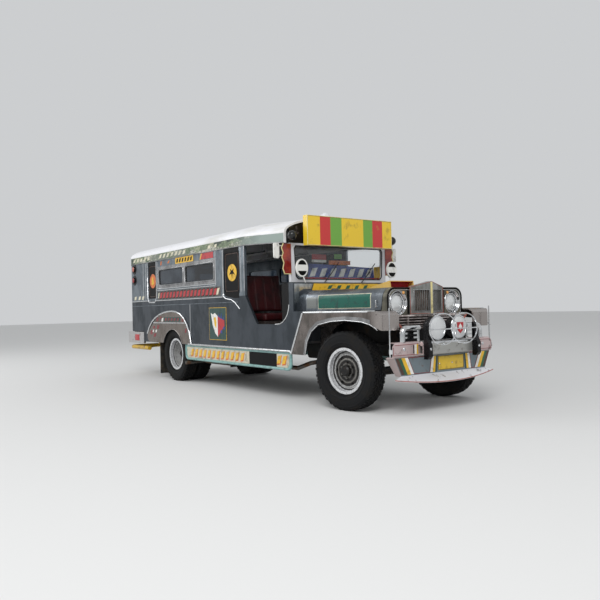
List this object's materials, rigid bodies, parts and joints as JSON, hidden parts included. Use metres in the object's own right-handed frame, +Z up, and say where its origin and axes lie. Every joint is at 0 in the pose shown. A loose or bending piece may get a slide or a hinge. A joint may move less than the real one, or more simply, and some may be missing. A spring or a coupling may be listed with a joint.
{
  "type": "jeepney",
  "caption": "Long passenger jeepney: ladder frame, twin rear wheels, full front wings, V-shaped grille, arched roof with sign box, side benches, lifting bonnet and steered front wheels.",
  "frame": {"origin": "on the ground under the middle of the whole vehicle's outline", "axes": "+X forward, +Y to the vehicle's left, +Z up"},
  "size_m": [6.1443, 1.81, 2.07],
  "materials": {
    "frame_black": "satin black chassis paint",
    "cast_grey": "oily cast iron",
    "axle_black": "dusty black axle iron",
    "stainless": "brushed stainless sheet",
    "polished": "polished stainless and chrome",
    "floor_plate": "worn plate",
    "roof_white": "gloss white",
    "panel_black": "gloss black",
    "dash_paint": "dark paint",
    "glass": "clear glass",
    "lens": "clear lens",
    "bumper_paint": "pale painted steel",
    "valance_paint": "grey painted steel",
    "black_paint": "gloss black paint",
    "sign_yellow": "gloss yellow with coloured stripes",
    "white_paint": "gloss white",
    "red_acrylic": "tinted acrylic",
    "aqua_paint": "gloss aqua",
    "lamp_red": "moulded lens",
    "rubber": "matt rubber",
    "tyre": "used tyre rubber",
    "rim_silver": "worn silver paint",
    "vinyl": "padded vinyl",
    "wheel_black": "moulded plastic"
  },
  "bodies": {
    "body": {"frame_rails": "frame_black", "crossmembers": "frame_black", "engine_block": "cast_grey", "driveline": "cast_grey", "fuel_tank": "frame_black", "exhaust": "stainless", "leaf_springs": "frame_black", "front_axle": "axle_black", "rear_axle": "axle_black", "radiator": "frame_black", "cabin_floor": "floor_plate", "bench_frames": "floor_plate", "body_sides": "stainless", "window_sides": "stainless", "quarter_panels": "panel_black", "roof": "roof_white", "rear_wall": "stainless", "cowl": "stainless", "dashboard": "dash_paint", "screen_frame": "polished", "screen_glass": "glass", "wings": "stainless", "nose_panel": "polished", "headlamps": "lens", "grille_shell": "stainless", "lower_grille": "polished", "bumper_bar": "bumper_paint", "valance": "valance_paint", "overriders": "black_paint", "bumper_guards": "polished", "driving_lamps": "black_paint", "lamp_hoops": "polished", "sign_board": "sign_yellow", "roof_lamps": "black_paint", "mirrors": "white_paint", "wind_wings": "red_acrylic", "sill_boards": "aqua_paint", "arch_panels": "polished", "rear_bumper": "polished", "tail_lamps": "lamp_red", "mud_flaps": "rubber", "spare_wheel": "tyre", "benches": "vinyl", "front_seats": "vinyl", "handrails": "polished", "steering_column": "frame_black"},
    "bonnet": {"bonnet": "stainless"},
    "steering_wheel": {"steering_wheel": "wheel_black"},
    "knuckle_right": {"knuckle_right": "axle_black"},
    "knuckle_left": {"knuckle_left": "axle_black"},
    "tie_rod": {"tie_rod": "axle_black"},
    "wheel_front_right": {"tyre_front_right": "tyre", "rim_front_right": "rim_silver"},
    "wheel_front_left": {"tyre_front_left": "tyre", "rim_front_left": "rim_silver"},
    "wheels_rear_right": {"tyres_rear_right": "tyre", "rims_rear_right": "rim_silver"},
    "wheels_rear_left": {"tyres_rear_left": "tyre", "rims_rear_left": "rim_silver"}
  },
  "joints": [
    {"name": "bonnet_hinge", "type": "hinge", "parent": "body", "child": "bonnet", "pos_m": [1.686, 0, 1.186], "axis": [0, -1, 0], "range_deg": [0, 55]},
    {"name": "steer_right", "type": "hinge", "parent": "body", "child": "knuckle_right", "pos_m": [2.334, -0.58, 0.38], "axis": [0, 0, 1], "range_deg": [-38, 22]},
    {"name": "steer_left", "type": "hinge", "parent": "body", "child": "knuckle_left", "pos_m": [2.334, 0.58, 0.38], "axis": [0, 0, 1], "range_deg": [-38, 22]},
    {"name": "tie_rod_pin", "type": "hinge", "parent": "knuckle_right", "child": "tie_rod", "pos_m": [2.18546, -0.60088, 0.2865], "axis": [0, 0, 1], "range_deg": [-22, 38]},
    {"name": "steering_wheel_turn", "type": "hinge", "parent": "body", "child": "steering_wheel", "pos_m": [0.939, 0.34, 1.17], "axis": [-0.848, 0, 0.5299], "range_deg": [-608, 352]},
    {"name": "spin_front_right", "type": "hinge", "parent": "knuckle_right", "child": "wheel_front_right", "pos_m": [2.34931, -0.68893, 0.38], "axis": [-0.1392, 0.9903, 0], "continuous": true},
    {"name": "spin_front_left", "type": "hinge", "parent": "knuckle_left", "child": "wheel_front_left", "pos_m": [2.31869, 0.68893, 0.38], "axis": [-0.1392, 0.9903, 0], "continuous": true},
    {"name": "spin_rear_right", "type": "hinge", "parent": "body", "child": "wheels_rear_right", "pos_m": [-1.356, -0.571, 0.38], "axis": [0, 1, 0], "continuous": true},
    {"name": "spin_rear_left", "type": "hinge", "parent": "body", "child": "wheels_rear_left", "pos_m": [-1.356, 0.571, 0.38], "axis": [0, 1, 0], "continuous": true}
  ],
  "couplings": [
    {"joint": "steer_left", "follows": "steer_right", "ratio": 1},
    {"joint": "tie_rod_pin", "follows": "steer_right", "ratio": -1},
    {"joint": "steering_wheel_turn", "follows": "steer_right", "ratio": 16}
  ]
}
